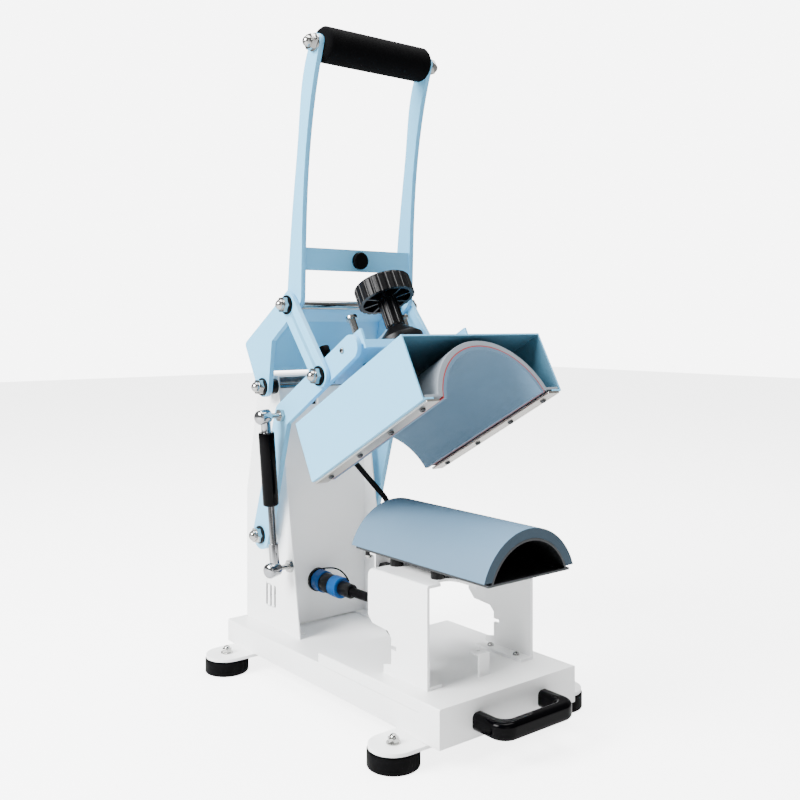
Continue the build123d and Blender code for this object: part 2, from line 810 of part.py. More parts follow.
with BuildPart() as guide_posts:
    with BuildSketch(head_level(0, head_height)):
        with Locations((-post_x, post_y), (post_x, post_y)):
            Circle(4)
    extrude(amount=post_top - head_height)
    with BuildSketch(head_level(0, post_top)):
        with Locations((-post_x, post_y), (post_x, post_y)):
            Circle(6.5)
    extrude(amount=4)
guide_posts.part.label = "guide_posts"
export_step(guide_posts.part, "parts/guide_posts.step")

thrust_top = 84
screw_bottom = 78
with BuildPart() as thrust_plate:
    with BuildSketch(head_level(0, head_height)):
        with Locations((0, 4)):
            Rectangle(110, 70)
        with Locations((-post_x, post_y), (post_x, post_y)):
            Circle(4, mode=Mode.SUBTRACT)
    extrude(amount=5)
    with BuildSketch(head_level(0, head_height + 5)):
        with Locations((0, screw_y)):
            Circle(15)
    extrude(amount=thrust_top - head_height - 5)
    with BuildSketch(head_level(0, screw_bottom - 0.5)):
        with Locations((0, screw_y)):
            Circle(screw_diameter / 2 + running_clearance)
    extrude(amount=20, mode=Mode.SUBTRACT)
thrust_plate.part.label = "thrust_plate"
export_step(thrust_plate.part, "parts/thrust_plate.step")

with BuildPart() as pressure_screw:
    with BuildSketch(head_level(0, screw_bottom)):
        with Locations((0, screw_y)):
            Circle(screw_diameter / 2)
    extrude(amount=knob_low - screw_bottom)
pressure_screw.part.label = "pressure_screw"
export_step(pressure_screw.part, "parts/pressure_screw.step")

# Knob: a fluted rim, a top disc and eight spokes under it
with BuildPart() as knob:
    with BuildSketch(head_level(0, knob_low)):
        with Locations((0, screw_y)):
            Circle(knob_diameter / 2)
    extrude(amount=knob_height)
    fillet(knob.edges().filter_by(GeomType.CIRCLE).sort_by(Axis.Z)[-1], 3)
    with BuildSketch(head_level(0, knob_low)):
        with Locations((0, screw_y)):
            with PolarLocations(knob_diameter / 2 + 0.8, 24):
                Circle(2.2)
    extrude(amount=knob_height, mode=Mode.SUBTRACT)
    with BuildSketch(head_level(0, knob_low)):
        with Locations((0, screw_y)):
            Circle(knob_diameter / 2 - 5)
            Circle(11, mode=Mode.SUBTRACT)
            with PolarLocations(18, 8):
                Rectangle(20, 2.4, mode=Mode.SUBTRACT)
    extrude(amount=knob_height - 5, mode=Mode.SUBTRACT)
    with BuildSketch(head_level(0, knob_low)):
        with Locations((0, screw_y)):
            Circle(9)
            with PolarLocations(9, 8):
                Circle(2)
            Circle(screw_diameter / 2, mode=Mode.SUBTRACT)
    extrude(amount=-stem_length)
knob.part.label = "knob"
export_step(knob.part, "parts/knob.step")

# Handle frame: two bent plates, a crossbar between them
with BuildPart() as handle_plates:
    for x in (-arm_inner - arm_thick, arm_inner):
        with BuildSketch(side(x)):
            with Locations(handle_pivot):
                Circle(12)
            with Locations(handle_elbow):
                Circle(5)
            with Locations(handle_knee):
                Circle(10)
            make_hull()
        extrude(amount=arm_thick)
        with BuildSketch(side(x)):
            with Locations(handle_elbow):
                Circle(5)
            with Locations(handle_knee):
                Circle(10)
            with Locations((82, 436)):
                Circle(14)
            make_hull()
        extrude(amount=arm_thick)
        with BuildSketch(side(x)):
            with BuildLine():
                Spline((96, 438), (92, 480), (84, 544), (73, 620), (65.5, 674), (51.5, 711))
                ThreePointArc((51.5, 711), (41, 721.5), (30.5, 711))
                Spline((30.5, 711), (44, 670), (55, 620), (64, 543), (67, 473), (68, 438))
                Line((68, 438), (96, 438))
            make_face()
        extrude(amount=arm_thick)
        with BuildSketch(side(x)):
            with Locations(handle_pivot):
                Circle(shaft_hole)
            with Locations(toggle_pin, grip_centre):
                Circle(shaft_diameter / 2)
        extrude(amount=arm_thick, mode=Mode.SUBTRACT)
    with Locations((0, crossbar_y, crossbar_z)):
        Box(2 * arm_inner, 6, crossbar_height)
handle_plates.part.label = "handle_plates"
export_step(handle_plates.part, "parts/handle_plates.step")

with BuildPart() as bumper:
    with BuildSketch(Plane.XZ.offset(-crossbar_y + 3)):
        with Locations((0, crossbar_z)):
            Circle(10)
    extrude(amount=5.5)
    fillet(bumper.edges().filter_by(GeomType.CIRCLE).sort_by(Axis.Y)[0], 2)
bumper.part.label = "bumper"
export_step(bumper.part, "parts/bumper.step")

with BuildPart() as web_panel:
    with BuildSketch(side(-arm_inner)):
        with BuildLine():
            Polyline((141.5, 351), (131.5, 392), (127, 409), (97, 426))
        trace(line_width=sheet)
    extrude(amount=2 * arm_inner)
web_panel.part.label = "web_panel"
export_step(web_panel.part, "parts/web_panel.step")

rod_end = link_inner + link_thick + side_gap + washer_thick
plate_out = arm_inner + arm_thick
with BuildPart() as cross_rods:
    with BuildSketch(side(-rod_end)):
        with Locations(toggle_pin):
            Circle(shaft_diameter / 2)
    extrude(amount=2 * rod_end)
    with BuildSketch(side(-plate_out - washer_thick)):
        with Locations(grip_centre):
            Circle(shaft_diameter / 2)
    extrude(amount=2 * (plate_out + washer_thick))
cross_rods.part.label = "cross_rods"
export_step(cross_rods.part, "parts/cross_rods.step")

with BuildPart() as grip_foam:
    with BuildSketch(side(-grip_length / 2)):
        with Locations(grip_centre):
            Circle(grip_diameter / 2)
    extrude(amount=grip_length)
    fillet(grip_foam.edges().filter_by(GeomType.CIRCLE), 5)
    with BuildSketch(side(-grip_length / 2)):
        with Locations(grip_centre):
            Circle(shaft_diameter / 2)
    extrude(amount=grip_length, mode=Mode.SUBTRACT)
grip_foam.part.label = "grip_foam"
export_step(grip_foam.part, "parts/grip_foam.step")

with BuildPart() as handle_nuts:
    for end, pin in ((rod_end, toggle_pin), (plate_out + washer_thick, grip_centre)):
        for x in (end - washer_thick, -end):
            with BuildSketch(side(x)):
                with Locations(pin):
                    Circle(10)
                    Circle(shaft_diameter / 2, mode=Mode.SUBTRACT)
            extrude(amount=washer_thick)
        for x in (end, -end - nut_height):
            with BuildSketch(side(x)):
                with Locations(pin):
                    RegularPolygon(nut_radius, 6)
            extrude(amount=nut_height)
        with Locations((end + dome_rise, *pin), (-end - dome_rise, *pin)):
            Sphere(dome_radius, rotation=(0, 90, 0))
handle_nuts.part.label = "handle_nuts"
export_step(handle_nuts.part, "parts/handle_nuts.step")

# Toggle links outside the plates
with BuildPart() as toggle_links:
    for x in (-link_inner - link_thick, link_inner):
        with BuildSketch(side(x)):
            with Locations(toggle_pin, link_pin):
                Circle(13)
            make_hull()
        extrude(amount=link_thick)
        with BuildSketch(side(x)):
            with Locations(toggle_pin):
                Circle(shaft_hole)
            with Locations(link_pin):
                Circle(shaft_diameter / 2)
        extrude(amount=link_thick, mode=Mode.SUBTRACT)
toggle_links.part.label = "toggle_links"
export_step(toggle_links.part, "parts/toggle_links.step")

link_out = link_inner + link_thick
with BuildPart() as link_bolts:
    for x in (link_inner, -link_out - washer_thick):
        with BuildSketch(side(x)):
            with Locations(link_pin):
                Circle(shaft_diameter / 2)
        extrude(amount=link_thick + washer_thick)
    for x in (link_out, -link_out - washer_thick):
        with BuildSketch(side(x)):
            with Locations(link_pin):
                Circle(10)
        extrude(amount=washer_thick)
    for x in (link_out + washer_thick, -link_out - washer_thick - nut_height):
        with BuildSketch(side(x)):
            with Locations(link_pin):
                RegularPolygon(nut_radius, 6)
        extrude(amount=nut_height)
    dome_x = link_out + washer_thick + dome_rise
    with Locations((dome_x, *link_pin), (-dome_x, *link_pin)):
        Sphere(dome_radius, rotation=(0, 90, 0))
link_bolts.part.label = "link_bolts"
export_step(link_bolts.part, "parts/link_bolts.step")

# Controller on the right-hand side of the column
bezel_y = 160
bezel_z = 92
bezel_depth = 8
button_gap = 0.35
with BuildPart() as controller_bezel:
    with BuildSketch(side(column_half)):
        with Locations((bezel_y, bezel_z)):
            RectangleRounded(80, 56, 5)
    extrude(amount=bezel_depth)
    fillet(controller_bezel.faces().sort_by(Axis.X)[-1].edges(), 1.5)
    with BuildSketch(side(column_half + bezel_depth - 1.5)):
        with Locations((bezel_y, bezel_z + 9)):
            Rectangle(62, 26)
    extrude(amount=1.5, mode=Mode.SUBTRACT)
    with BuildSketch(side(column_half + 1.5)):
        with Locations((bezel_y, bezel_z - 16)):
            with GridLocations(22, 1, 3, 1):
                Rectangle(12 + 2 * button_gap, 8 + 2 * button_gap)
    extrude(amount=bezel_depth, mode=Mode.SUBTRACT)
controller_bezel.part.label = "controller_bezel"
export_step(controller_bezel.part, "parts/controller_bezel.step")

with BuildPart() as display_lens:
    with Locations((column_half + bezel_depth - 1, bezel_y, bezel_z + 9)):
        Box(1, 62, 26)
display_lens.part.label = "display_lens"
export_step(display_lens.part, "parts/display_lens.step")

button_names = ("button_down", "button_set", "button_up")
for button_name, offset_y in zip(button_names, (-22, 0, 22)):
    with BuildPart() as button:
        with BuildSketch(side(column_half + 3.2)):
            with Locations((bezel_y + offset_y, bezel_z - 16)):
                RectangleRounded(12, 8, 1.5)
        extrude(amount=bezel_depth - 1.2)
        fillet(button.faces().sort_by(Axis.X)[-1].edges(), 0.6)
    button.part.label = button_name
    export_step(button.part, "parts/" + button_name + ".step")

# Mains inlet and rocker switch on the back
with BuildPart() as power_inlet:
    with Locations((inlet_x, column_rear + 1.2, inlet_z)):
        Box(50, 2.4, 36)
    with Locations((inlet_x, column_rear - 7, inlet_z)):
        Box(26.6, 14, 29.6)
    with Locations((inlet_x, column_rear - 3.5, inlet_z + 4)):
        Box(22, 13.1, 15, mode=Mode.SUBTRACT)
    # three flat contacts, the middle one higher
    for x, z in ((inlet_x - 7, inlet_z + 4), (inlet_x + 7, inlet_z + 4), (inlet_x, inlet_z + 8)):
        with Locations((x, column_rear - 5.5, z)):
            Box(2, 8.9, 4)
    with Locations((inlet_x, column_rear + 2.9, inlet_z - 10)):
        Box(22, 1.4, 6)
power_inlet.part.label = "power_inlet"
export_step(power_inlet.part, "parts/power_inlet.step")

with BuildPart() as switch_bezel:
    with Locations((switch_x, column_rear + 1, switch_z)):
        Box(17, 2, 30)
    with Locations((switch_x, column_rear - 5.5, switch_z)):
        Box(12.6, 11, 24.6)
    with Locations((switch_x, column_rear - 4, switch_z)):
        Box(10.8, 12.1, 22.6, mode=Mode.SUBTRACT)
switch_bezel.part.label = "switch_bezel"
export_step(switch_bezel.part, "parts/switch_bezel.step")

rocker_angle = 8
rocker_axis_y = column_rear - 1
rocker_plane = Plane(origin=(switch_x - 4.8, rocker_axis_y, switch_z), x_dir=(0, 1, 0), z_dir=(1, 0, 0))
with BuildPart() as rocker:
    with BuildSketch(rocker_plane):
        with BuildLine():
            a = radians(rocker_angle)
            Polyline(
                (3.2 * cos(a) + 9.6 * sin(a), 9.6 * cos(a) - 3.2 * sin(a)),
                (2.4, 0),
                (3.2 * cos(a) - 9.6 * sin(a), -9.6 * cos(a) - 3.2 * sin(a)),
                (-1 - 9.6 * sin(a), -9.6 * cos(a)),
                (-4, 0),
                (-1 + 9.6 * sin(a), 9.6 * cos(a)),
                close=True,
            )
        make_face()
    extrude(amount=9.6)
    # pivot pin through the rocker
    with BuildSketch(rocker_plane.offset(-0.4)):
        Circle(1.6)
    extrude(amount=10.4)
rocker.part.label = "rocker"
export_step(rocker.part, "parts/rocker.step")

# Cables
grommet_x = 58
grommet_y = 72
head_cable_radius = 3.25
with BuildPart() as cable_grommet:
    with BuildSketch(Plane.XY.offset(base_top)):
        with Locations((grommet_x, grommet_y)):
            Circle(7)
            Circle(3.6, mode=Mode.SUBTRACT)
    extrude(amount=5)
    chamfer(cable_grommet.edges().filter_by(GeomType.CIRCLE).sort_by(Axis.Z)[-1], 1.2)
cable_grommet.part.label = "cable_grommet"
export_step(cable_grommet.part, "parts/cable_grommet.step")

# Both cables run in straight stretches joined by round bends
loop_x = -cradle_half_width + 11
loop_y = -118
loop_low = 92
platen_bend = 18
head_bend = 24
with BuildPart() as platen_cable:
    with BuildLine() as platen_path:
        FilletPolyline(
            (plug_x, panel_y - 62, plug_z),
            (plug_x, panel_y - 96, plug_z),
            (loop_x, panel_y - 176, loop_low),
            (loop_x, loop_y, loop_low),
            (loop_x, loop_y, gland_z),
            (loop_x, loop_y + 26, gland_z),
            (gland_x, gland_y - 26, gland_z),
            (gland_x, gland_y, gland_z),
            radius=platen_bend,
        )
    with BuildSketch(Plane(origin=platen_path.line @ 0, z_dir=platen_path.line % 0)):
        Circle(cable_radius)
    sweep()
platen_cable.part.label = "platen_cable"
export_step(platen_cable.part, "parts/platen_cable.step")

with BuildPart() as head_cable:
    with BuildLine() as head_path:
        FilletPolyline(
            (-30, 46, 294.4),
            (-29, 80, 276),
            (6, 90, 249),
            (56, 86, 206),
            (grommet_x, grommet_y, 130),
            (grommet_x, grommet_y, 46.5),
            radius=head_bend,
        )
    with BuildSketch(Plane(origin=head_path.line @ 0, z_dir=head_path.line % 0)):
        Circle(head_cable_radius)
    sweep()
head_cable.part.label = "head_cable"
export_step(head_cable.part, "parts/head_cable.step")

# Radii of the cables' bends and the cables' lengths
platen_length_along = sum(edge.length for edge in platen_path.edges())
head_length_along = sum(edge.length for edge in head_path.edges())
print("platen cable: bend radius", platen_bend, "length", round(platen_length_along, 1))
print("head cable: bend radius", head_bend, "length", round(head_length_along, 1))
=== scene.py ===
import json
from math import cos, pi, radians, sin

import bmesh
import bpy
from mathutils import Matrix, Vector


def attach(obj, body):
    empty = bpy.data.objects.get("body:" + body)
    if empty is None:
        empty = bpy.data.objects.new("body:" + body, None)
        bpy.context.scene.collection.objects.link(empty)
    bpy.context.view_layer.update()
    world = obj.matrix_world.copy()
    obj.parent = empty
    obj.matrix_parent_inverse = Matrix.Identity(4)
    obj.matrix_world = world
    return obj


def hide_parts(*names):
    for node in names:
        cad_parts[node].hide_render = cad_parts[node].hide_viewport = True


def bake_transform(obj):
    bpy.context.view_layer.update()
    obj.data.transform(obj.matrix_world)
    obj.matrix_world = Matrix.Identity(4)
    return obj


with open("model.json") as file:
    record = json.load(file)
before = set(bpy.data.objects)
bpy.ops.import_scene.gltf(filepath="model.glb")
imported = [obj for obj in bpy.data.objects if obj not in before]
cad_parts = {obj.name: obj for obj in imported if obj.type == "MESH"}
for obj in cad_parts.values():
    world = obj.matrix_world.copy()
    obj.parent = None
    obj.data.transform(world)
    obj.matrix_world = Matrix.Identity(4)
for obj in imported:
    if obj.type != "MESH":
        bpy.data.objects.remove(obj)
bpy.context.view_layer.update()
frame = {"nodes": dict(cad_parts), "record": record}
nodes = frame["nodes"]
MM = 0.001

# The tilted head: y runs back along it and n comes out of its top, in millimetres
TILT = radians(28.5)
HEAD_Y, HEAD_Z = -66.1, 287.4
HEAD_UP = Vector((0, sin(TILT), cos(TILT)))
HEAD_BACK = Vector((0, cos(TILT), -sin(TILT)))


def head_point(x, y, n):
    return (Vector((x, HEAD_Y, HEAD_Z)) + y * HEAD_BACK + n * HEAD_UP) * MM


# Camera at the photograph's place
camera_data = bpy.data.cameras.new("camera")
camera_data.sensor_width = 36
camera_data.lens = 43.83
camera_data.shift_y = -0.0975
camera = bpy.data.objects.new("camera", camera_data)
camera.location = (-0.6695, -0.840, 0.408)
camera.rotation_euler = (radians(90), 0, radians(-38.8))
bpy.context.scene.collection.objects.link(camera)
bpy.context.scene.camera = camera


# Materials
def linear(red, green, blue):
    """sRGB values from 0 to 255 as a linear colour."""
    channels = [c / 255 for c in (red, green, blue)]
    return [c / 12.92 if c < 0.04045 else ((c + 0.055) / 1.055) ** 2.4 for c in channels]


def coated(name, colour, roughness, shade=0.06, grain=900.0, bump=0.08, metallic=0.0,
           stretch=(1, 1, 1), patch=14.0, rough_spread=0.08, coat=0.0, specular=0.5):
    """A surface with a faint cloudy tint, uneven gloss and a fine grain, sized in metres."""
    material = bpy.data.materials.new(name)
    material.use_nodes = True
    tree = material.node_tree
    shader = tree.nodes["Principled BSDF"]
    shader.inputs["Metallic"].default_value = metallic
    shader.inputs["Coat Weight"].default_value = coat
    shader.inputs["Coat Roughness"].default_value = 0.12
    shader.inputs["Specular IOR Level"].default_value = specular
    place = tree.nodes.new("ShaderNodeTexCoord")
    scale = tree.nodes.new("ShaderNodeMapping")
    scale.inputs["Scale"].default_value = stretch
    tree.links.new(place.outputs["Object"], scale.inputs["Vector"])

    cloud = tree.nodes.new("ShaderNodeTexNoise")
    cloud.inputs["Scale"].default_value = patch
    cloud.inputs["Detail"].default_value = 4
    tree.links.new(scale.outputs["Vector"], cloud.inputs["Vector"])
    tint = tree.nodes.new("ShaderNodeMix")
    tint.data_type = "RGBA"
    tint.inputs["A"].default_value = [c * (1 - shade) for c in colour] + [1]
    tint.inputs["B"].default_value = [min(1, c * (1 + shade)) for c in colour] + [1]
    tree.links.new(cloud.outputs["Fac"], tint.inputs["Factor"])
    tree.links.new(tint.outputs["Result"], shader.inputs["Base Color"])

    gloss = tree.nodes.new("ShaderNodeMapRange")
    gloss.inputs["To Min"].default_value = max(0.02, roughness - rough_spread)
    gloss.inputs["To Max"].default_value = min(1, roughness + rough_spread)
    smear = tree.nodes.new("ShaderNodeTexNoise")
    smear.inputs["Scale"].default_value = patch * 6
    smear.inputs["Detail"].default_value = 5
    tree.links.new(scale.outputs["Vector"], smear.inputs["Vector"])
    tree.links.new(smear.outputs["Fac"], gloss.inputs["Value"])
    tree.links.new(gloss.outputs["Result"], shader.inputs["Roughness"])

    fine = tree.nodes.new("ShaderNodeTexNoise")
    fine.inputs["Scale"].default_value = grain
    fine.inputs["Detail"].default_value = 3
    tree.links.new(scale.outputs["Vector"], fine.inputs["Vector"])
    relief = tree.nodes.new("ShaderNodeBump")
    relief.inputs["Strength"].default_value = bump
    relief.inputs["Distance"].default_value = 0.0004
    tree.links.new(fine.outputs["Fac"], relief.inputs["Height"])
    tree.links.new(relief.outputs["Normal"], shader.inputs["Normal"])
    return material


white_coat = coated("white_coat", linear(246, 247, 247), 0.38, shade=0.012, grain=700, bump=0.10, coat=0.12)
blue_coat = coated("blue_coat", linear(112, 184, 222), 0.40, shade=0.025, grain=700, bump=0.10, coat=0.08)
# A darker, duller blue painted on the inside of the hood as its shade
hood_painted_shade = coated("hood_painted_shade", linear(66, 108, 130), 0.5, shade=0.05, grain=700, bump=0.12,
                     specular=0.35)
pad_blue = coated("pad_blue", linear(84, 112, 134), 0.62, shade=0.035, grain=1600, bump=0.22, specular=0.3)
pad_edge = coated("pad_edge", linear(56, 72, 84), 0.7, shade=0.05, grain=1400, bump=0.3, specular=0.2)
red_line = coated("red_line", linear(150, 40, 36), 0.6, shade=0.12, grain=900, bump=0.25)
shell_grey = coated("shell_grey", linear(124, 132, 140), 0.55, shade=0.04, grain=1200, bump=0.15)
foam = coated("foam", linear(4, 4, 5), 0.85, shade=0.3, grain=2200, bump=0.6, specular=0.04)
rubber = coated("rubber", linear(3, 3, 4), 0.5, shade=0.2, grain=1200, bump=0.3, specular=0.05)
plastic = coated("plastic", linear(7, 7, 8), 0.34, shade=0.15, grain=1500, bump=0.22, specular=0.14)
gloss_black = coated("gloss_black", linear(1, 1, 2), 0.1, shade=0.1, grain=500, bump=0.02,
                     rough_spread=0.03, specular=0.06)
ring_blue = coated("ring_blue", linear(2, 68, 128), 0.34, shade=0.05, grain=900, bump=0.1, specular=0.2)
grey_plastic = coated("grey_plastic", linear(150, 154, 158), 0.5, shade=0.04, grain=1400, bump=0.15)
zinc = coated("zinc", linear(164, 164, 162), 0.16, shade=0.08, grain=700, bump=0.1, metallic=1)
chrome = coated("chrome", linear(158, 159, 162), 0.1, shade=0.04, grain=300, bump=0.02, metallic=1,
                rough_spread=0.03)
mill = coated("mill", linear(190, 186, 180), 0.32, shade=0.06, grain=500, bump=0.14, metallic=1,
              stretch=(8, 1, 8), rough_spread=0.12)
dark_metal = coated("dark_metal", linear(70, 72, 74), 0.42, shade=0.12, grain=800, bump=0.2, metallic=1)
lens = coated("lens", linear(6, 9, 10), 0.14, shade=0.1, grain=200, bump=0.01, specular=0.12)
digit_glow = coated("digit_glow", linear(150, 226, 232), 0.4, shade=0.02, bump=0.02)
mark_white = coated("mark_white", linear(226, 226, 226), 0.5, shade=0.02, bump=0.05)

finishes = {
    "white_coat": white_coat,
    "blue_coat": blue_coat,
    "zinc_steel": zinc,
    "strut_chrome": chrome,
    "strut_black": gloss_black,
    "black_rubber": rubber,
    "black_plastic": plastic,
    "black_gloss": gloss_black,
    "blue_plastic": ring_blue,
    "grey_plastic": grey_plastic,
    "lens": lens,
    "pad_blue": pad_blue,
    "mat_red": red_line,
    "bare_aluminium": mill,
}
slot_of = {part["node"]: part["material_slot"] for part in frame["record"]["subparts"]}
for node_name, node in nodes.items():
    node.data.materials.clear()
    node.data.materials.append(finishes[slot_of[node_name]])
nodes["heater_shell"].data.materials[0] = shell_grey
for node_name in ("thrust_plate", "platen_shell"):
    nodes[node_name].data.materials[0] = dark_metal
nodes["platen_spacers"].data.materials[0] = plastic

# The platen pad's two end faces get a darker, greyer blue than its top
platen_pad = nodes["platen_pad"]
platen_pad.data.materials.append(pad_edge)
turned = platen_pad.matrix_world.to_3x3()
for polygon in platen_pad.data.polygons:
    if abs((turned @ polygon.normal).y) > 0.9:
        polygon.material_index = 1

# The strut is black only along its barrel: its upper end is bright
BRIGHT_LENGTH = 17.6 * MM
STRUT_TOP = Vector((-102, 107.3, 301.9)) * MM
STRUT_FOOT = Vector((-84.5, 114.9, 126.5)) * MM
strut_down = (STRUT_FOOT - STRUT_TOP).normalized()
barrel = nodes["strut_cylinder"]
barrel.data.materials.append(chrome)
for polygon in barrel.data.polygons:
    if (barrel.matrix_world @ polygon.center - STRUT_TOP).dot(strut_down) < BRIGHT_LENGTH:
        polygon.material_index = 1

# Painted shade inside the hood: faces that look towards the middle of the head get a darker, duller blue
# that stands in for the shade there
hood = nodes["hood"]
hood.data.materials.append(hood_painted_shade)
middle = head_point(0, 0, 40)
turned = hood.matrix_world.to_3x3()
for polygon in hood.data.polygons:
    inward = middle - hood.matrix_world @ polygon.center
    inward -= inward.dot(HEAD_BACK) * HEAD_BACK
    if (turned @ polygon.normal).dot(inward.normalized()) > 0.3:
        polygon.material_index = 1

# Folded sheet and turned edges catch the light: a narrow bevel on the CAD pieces
EDGE, TRAY_EDGE = 0.00035, 0.0009
SHARP = {
    "platen_pad", "upper_pad", "red_mat", "display_lens", "knob", "platen_cable", "head_cable", "grip_foam",
}
for node_name, node in nodes.items():
    if node_name in SHARP:
        continue
    weld = node.modifiers.new("weld", "WELD")
    weld.merge_threshold = 0.00001
    bevel = node.modifiers.new("bevel", "BEVEL")
    bevel.width = TRAY_EDGE if node_name == "tray" else EDGE
    bevel.segments = 2
    bevel.limit_method = "ANGLE"
    bevel.angle_limit = radians(38)
    bevel.use_clamp_overlap = True


# Mesh helpers
def new_piece(name, vertices, faces, material, body):
    mesh = bpy.data.meshes.new(name)
    mesh.from_pydata([tuple(v) for v in vertices], [], faces)
    mesh.update()
    bm = bmesh.new()
    bm.from_mesh(mesh)
    bmesh.ops.recalc_face_normals(bm, faces=bm.faces)
    bm.to_mesh(mesh)
    bm.free()
    mesh.materials.append(material)
    for polygon in mesh.polygons:
        polygon.use_smooth = True
    piece = bpy.data.objects.new(name, mesh)
    bpy.context.scene.collection.objects.link(piece)
    mesh.set_sharp_from_angle(angle=radians(35))
    if body:
        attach(piece, body)
    return piece


def axis_frame(axis):
    """Two directions square to an axis."""
    axis = Vector(axis).normalized()
    first = axis.orthogonal().normalized()
    return first, axis.cross(first), axis


def lathe(rings, centre, axis, steps=32, sides=None):
    """Rings of (radius, height) round an axis. sides[i] = 6 makes ring i a hexagon."""
    first, second, axis = axis_frame(axis)
    centre = Vector(centre)
    vertices, faces = [], []
    for i, (radius, height) in enumerate(rings):
        for k in range(steps):
            angle = 2 * pi * k / steps
            r = radius
            if sides and sides[i]:
                part = pi / sides[i]
                r = radius * cos(part) / cos((angle % (2 * part)) - part)
            vertices.append(centre + r * (cos(angle) * first + sin(angle) * second) + height * axis)
    for i in range(len(rings) - 1):
        for k in range(steps):
            a, b = i * steps + k, i * steps + (k + 1) % steps
            faces.append((a, b, b + steps, a + steps))
    faces.append(tuple(range(steps))[::-1])
    faces.append(tuple(range((len(rings) - 1) * steps, len(rings) * steps)))
    return vertices, faces


def socket_screw(name, at, axis, radius, body, material=None):
    """A low round head with a hexagon socket."""
    tall = radius * 0.7
    rings = [
        (radius * 0.98, 0), (radius, tall * 0.25), (radius * 0.9, tall * 0.7), (radius * 0.68, tall),
        (radius * 0.5, tall), (radius * 0.46, tall * 0.3),
    ]
    vertices, faces = lathe(rings, at, axis, steps=24, sides=[0, 0, 0, 0, 6, 6])
    return new_piece(name, vertices, faces, material or zinc, body)


def tube(path, radius, around=20):
    """A tube along a path, its rings carried along without twist."""
    vertices, faces = [], []
    ahead = (path[1] - path[0]).normalized()
    side = ahead.orthogonal().normalized()
    for i, point in enumerate(path):
        before, after = path[max(0, i - 1)], path[min(len(path) - 1, i + 1)]
        new_ahead = (after - before).normalized()
        side = (ahead.rotation_difference(new_ahead) @ side).normalized()
        ahead = new_ahead
        up = ahead.cross(side)
        for k in range(around):
            angle = 2 * pi * k / around
            vertices.append(point + radius * (cos(angle) * side + sin(angle) * up))
    for i in range(len(path) - 1):
        for k in range(around):
            a, b = i * around + k, i * around + (k + 1) % around
            faces.append((a, b, b + around, a + around))
    faces.append(tuple(range(around))[::-1])
    faces.append(tuple(range((len(path) - 1) * around, len(path) * around)))
    return vertices, faces


def route_line(name, points):
    """The smooth line of a cord: a NURBS spline whose control points are the route's points."""
    curve = bpy.data.curves.new(name, "CURVE")
    curve.dimensions = "3D"
    curve.resolution_u = 14
    spline = curve.splines.new("NURBS")
    spline.points.add(len(points) - 1)
    for control, point in zip(spline.points, points):
        control.co = (*(Vector(point) * MM), 1)
    spline.order_u = 3
    spline.use_endpoint_u = True
    holder = bpy.data.objects.new(name, curve)
    bpy.context.scene.collection.objects.link(holder)
    bpy.context.view_layer.update()
    line = bpy.data.meshes.new_from_object(holder)
    path = [vertex.co.copy() for vertex in line.vertices]
    bpy.data.objects.remove(holder)
    return path


# Cables
PLUG_X, PLUG_Y, PLUG_Z = -9, 79, 97
GLAND_X, GLAND_Y, GLAND_Z = -44, -36, 148.5
LOOP_X, LOOP_Y, LOOP_LOW = -61, -118, 92
CABLE_RADIUS = 5.2
platen_path = route_line("platen_route", [
    (PLUG_X, PLUG_Y, PLUG_Z),
    (PLUG_X, PLUG_Y - 27, PLUG_Z),
    (PLUG_X, 22, 98),
    (-20, -12, 98),
    (-46, -42, 95),
    (LOOP_X, -80, LOOP_LOW),
    (LOOP_X, LOOP_Y, LOOP_LOW),
    (LOOP_X, LOOP_Y, GLAND_Z),
    (LOOP_X, LOOP_Y + 26, GLAND_Z),
    (GLAND_X, GLAND_Y - 26, GLAND_Z),
    (GLAND_X, GLAND_Y, GLAND_Z),
])
vertices, faces = tube(platen_path, CABLE_RADIUS * MM)
platen_cable = new_piece("platen_cable_tube", vertices, faces, rubber, None)
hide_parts("platen_cable")
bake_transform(platen_cable)

GROMMET_X, GROMMET_Y = 58, 72
HEAD_CABLE_RADIUS = 3.25
head_path = route_line("head_route", [
    (-34, 46.3, 295), (-33, 80.3, 276.6), (4, 90, 249), (38, 92, 214), (61, 86, 188),
    (GROMMET_X, GROMMET_Y, 130), (GROMMET_X, GROMMET_Y, 46.5),
])
vertices, faces = tube(head_path, HEAD_CABLE_RADIUS * MM)
head_cable = new_piece("head_cable_tube", vertices, faces, rubber, None)
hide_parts("head_cable")
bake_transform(head_cable)

# Foam grip
GRIP_Y, GRIP_Z, GRIP_RADIUS, GRIP_HALF = 41, 711, 19.75, 73.5
GRIP_ROUNDING = 5.5
GRIP_BORE = GRIP_RADIUS * 0.27 * MM
STATIONS = 60
rings = []
for i in range(STATIONS + 1):
    x = -GRIP_HALF + 2 * GRIP_HALF * i / STATIONS
    from_end = GRIP_HALF - abs(x)
    rounded = 1 - max(0, 1 - from_end / GRIP_ROUNDING) ** 2 * 0.28
    wavy = 1 - 0.004 * sin(x * 0.9) * sin(x * 0.23 + 1)
    rings.append((GRIP_RADIUS * rounded * wavy * MM, x * MM))
rings = [(GRIP_BORE, rings[0][1])] + rings + [(GRIP_BORE, rings[-1][1])]
vertices, faces = lathe(rings, Vector((0, GRIP_Y, GRIP_Z)) * MM, (1, 0, 0), steps=64)
grip = new_piece("foam_grip", vertices, faces, foam, "handle")
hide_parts("grip_foam")

# Screws
PLATEN_UNDER = 166.5
TRAY_TOP = 61
COVER_REAR = 215
INLET_REAR = 217.4
FLANGE_RING = 12.2
screw_count = 0


def screw(at, axis, radius, body, material=None):
    global screw_count
    screw_count += 1
    return socket_screw(f"screw_{screw_count:02d}", at, axis, radius * MM, body, material)


# Heads along the clamp strips, under the head
for x in (-82, 82):
    for y in (-86, -32, 26, 84):
        screw(head_point(x, y, -2.5), -HEAD_UP, 3.2, "head", dark_metal)
